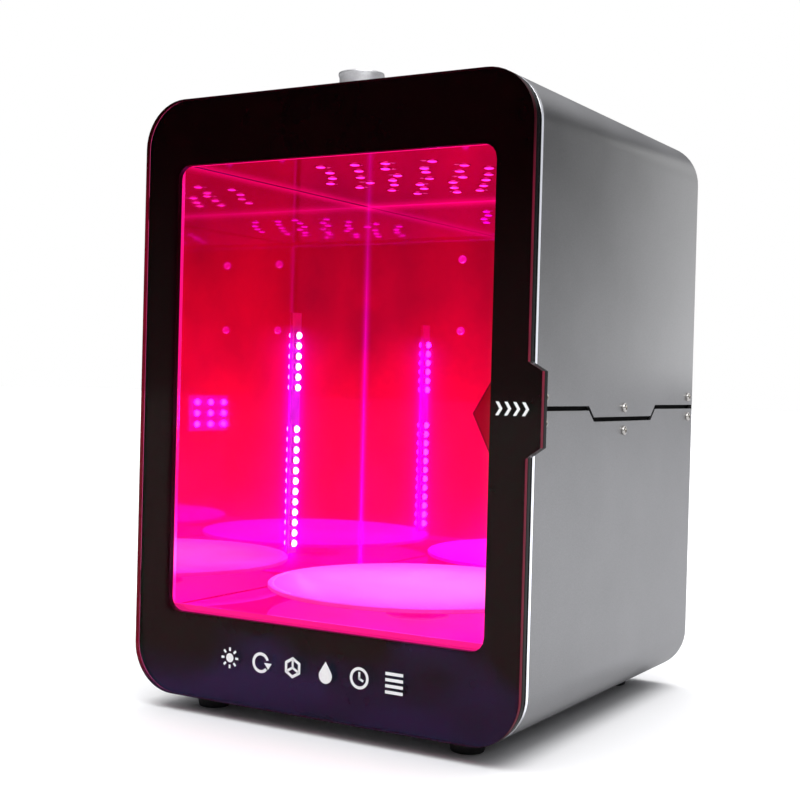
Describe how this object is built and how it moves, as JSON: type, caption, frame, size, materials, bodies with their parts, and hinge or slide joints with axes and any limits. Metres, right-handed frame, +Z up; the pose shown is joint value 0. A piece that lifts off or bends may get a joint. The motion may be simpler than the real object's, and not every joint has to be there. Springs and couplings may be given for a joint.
{
  "type": "resin curing station",
  "caption": "Countertop UV curing box for resin prints: red acrylic door hinged at the left, mirrored chamber with LED boards and a driven turntable, timer knob on top, fan at the rear.",
  "frame": {"origin": "on the floor under the middle of the object's box, at the undersides of the feet", "axes": "+Z up, the door faces -Y, +X is to the right of someone facing the door"},
  "size_m": [0.2712, 0.254, 0.3727],
  "materials": {
    "red_acrylic": "red transparent sheet, polished",
    "tinted_acrylic": "dark clear sheet, polished",
    "black_acrylic": "black sheet, gloss",
    "foam": "self-adhesive foam strip",
    "polished_steel": "polished",
    "satin_aluminium": "satin, fine bead blast",
    "turned_aluminium": "turned, bright",
    "black_steel": "black powder coat",
    "zinc_steel": "zinc plated",
    "nickel_steel": "nickel plated",
    "mirror_sheet": "mirror film on sheet",
    "rubber": "moulded",
    "black_plastic": "moulded",
    "led_board": "white solder mask",
    "green_board": "green solder mask",
    "white_disc": "white acrylic"
  },
  "bodies": {
    "case": {"front_frame": "polished_steel", "upper_shell": "satin_aluminium", "lower_shell": "satin_aluminium", "seam_rail_left": "black_steel", "seam_rail_right": "black_steel", "rear_panel": "satin_aluminium", "fan_guard": "black_steel", "dc_jack": "black_plastic", "left_mirror": "mirror_sheet", "right_mirror": "mirror_sheet", "back_mirror": "mirror_sheet", "floor_mirror": "mirror_sheet", "ceiling_mirror": "mirror_sheet", "led_strip_left": "led_board", "led_panel_right": "led_board", "ceiling_led_board": "led_board", "gear_motor": "zinc_steel", "motor_bracket": "zinc_steel", "timer_unit": "black_plastic", "knob_nut": "zinc_steel", "control_board": "green_board", "fan_housing": "black_plastic", "hinge_lower_body_leaf": "zinc_steel", "hinge_lower_pin": "zinc_steel", "hinge_upper_body_leaf": "zinc_steel", "hinge_upper_pin": "zinc_steel", "foot_front_left": "rubber", "foot_front_right": "rubber", "foot_rear_left": "rubber", "foot_rear_right": "rubber", "side_screw_left_front_upper": "nickel_steel", "side_screw_left_front_lower": "nickel_steel", "side_screw_left_middle_upper": "nickel_steel", "side_screw_left_middle_lower": "nickel_steel", "side_screw_left_rear_upper": "nickel_steel", "side_screw_left_rear_lower": "nickel_steel", "side_screw_right_front_upper": "nickel_steel", "side_screw_right_front_lower": "nickel_steel", "side_screw_right_middle_upper": "nickel_steel", "side_screw_right_middle_lower": "nickel_steel", "side_screw_right_rear_upper": "nickel_steel", "side_screw_right_rear_lower": "nickel_steel", "fan_screw_lower_left": "nickel_steel", "fan_screw_lower_right": "nickel_steel", "fan_screw_upper_left": "nickel_steel", "fan_screw_upper_right": "nickel_steel"},
    "door": {"door_panel": "red_acrylic", "door_frame": "black_acrylic", "door_gasket": "foam", "latch_plate": "tinted_acrylic", "door_magnet_lower": "nickel_steel", "door_magnet_upper": "nickel_steel", "hinge_lower_door_leaf": "zinc_steel", "hinge_upper_door_leaf": "zinc_steel"},
    "turntable": {"turntable_disc": "white_disc", "turntable_hub": "turned_aluminium"},
    "knob": {"timer_knob": "turned_aluminium"},
    "fan": {"fan_rotor": "black_plastic"}
  },
  "joints": [
    {"name": "door_hinge", "type": "hinge", "parent": "case", "child": "door", "pos_m": [-0.1324, -0.113, 0.1845], "axis": [0, 0, -1], "range_deg": [0, 120]},
    {"name": "turntable_spin", "type": "hinge", "parent": "case", "child": "turntable", "pos_m": [0, -0.0094, 0.0595], "axis": [0, 0, 1], "continuous": true},
    {"name": "timer_turn", "type": "hinge", "parent": "case", "child": "knob", "pos_m": [0, -0.09, 0.3645], "axis": [0, 0, -1], "range_deg": [0, 300]},
    {"name": "fan_spin", "type": "hinge", "parent": "case", "child": "fan", "pos_m": [-0.004, 0.104, 0.2585], "axis": [0, 1, 0], "continuous": true}
  ]
}
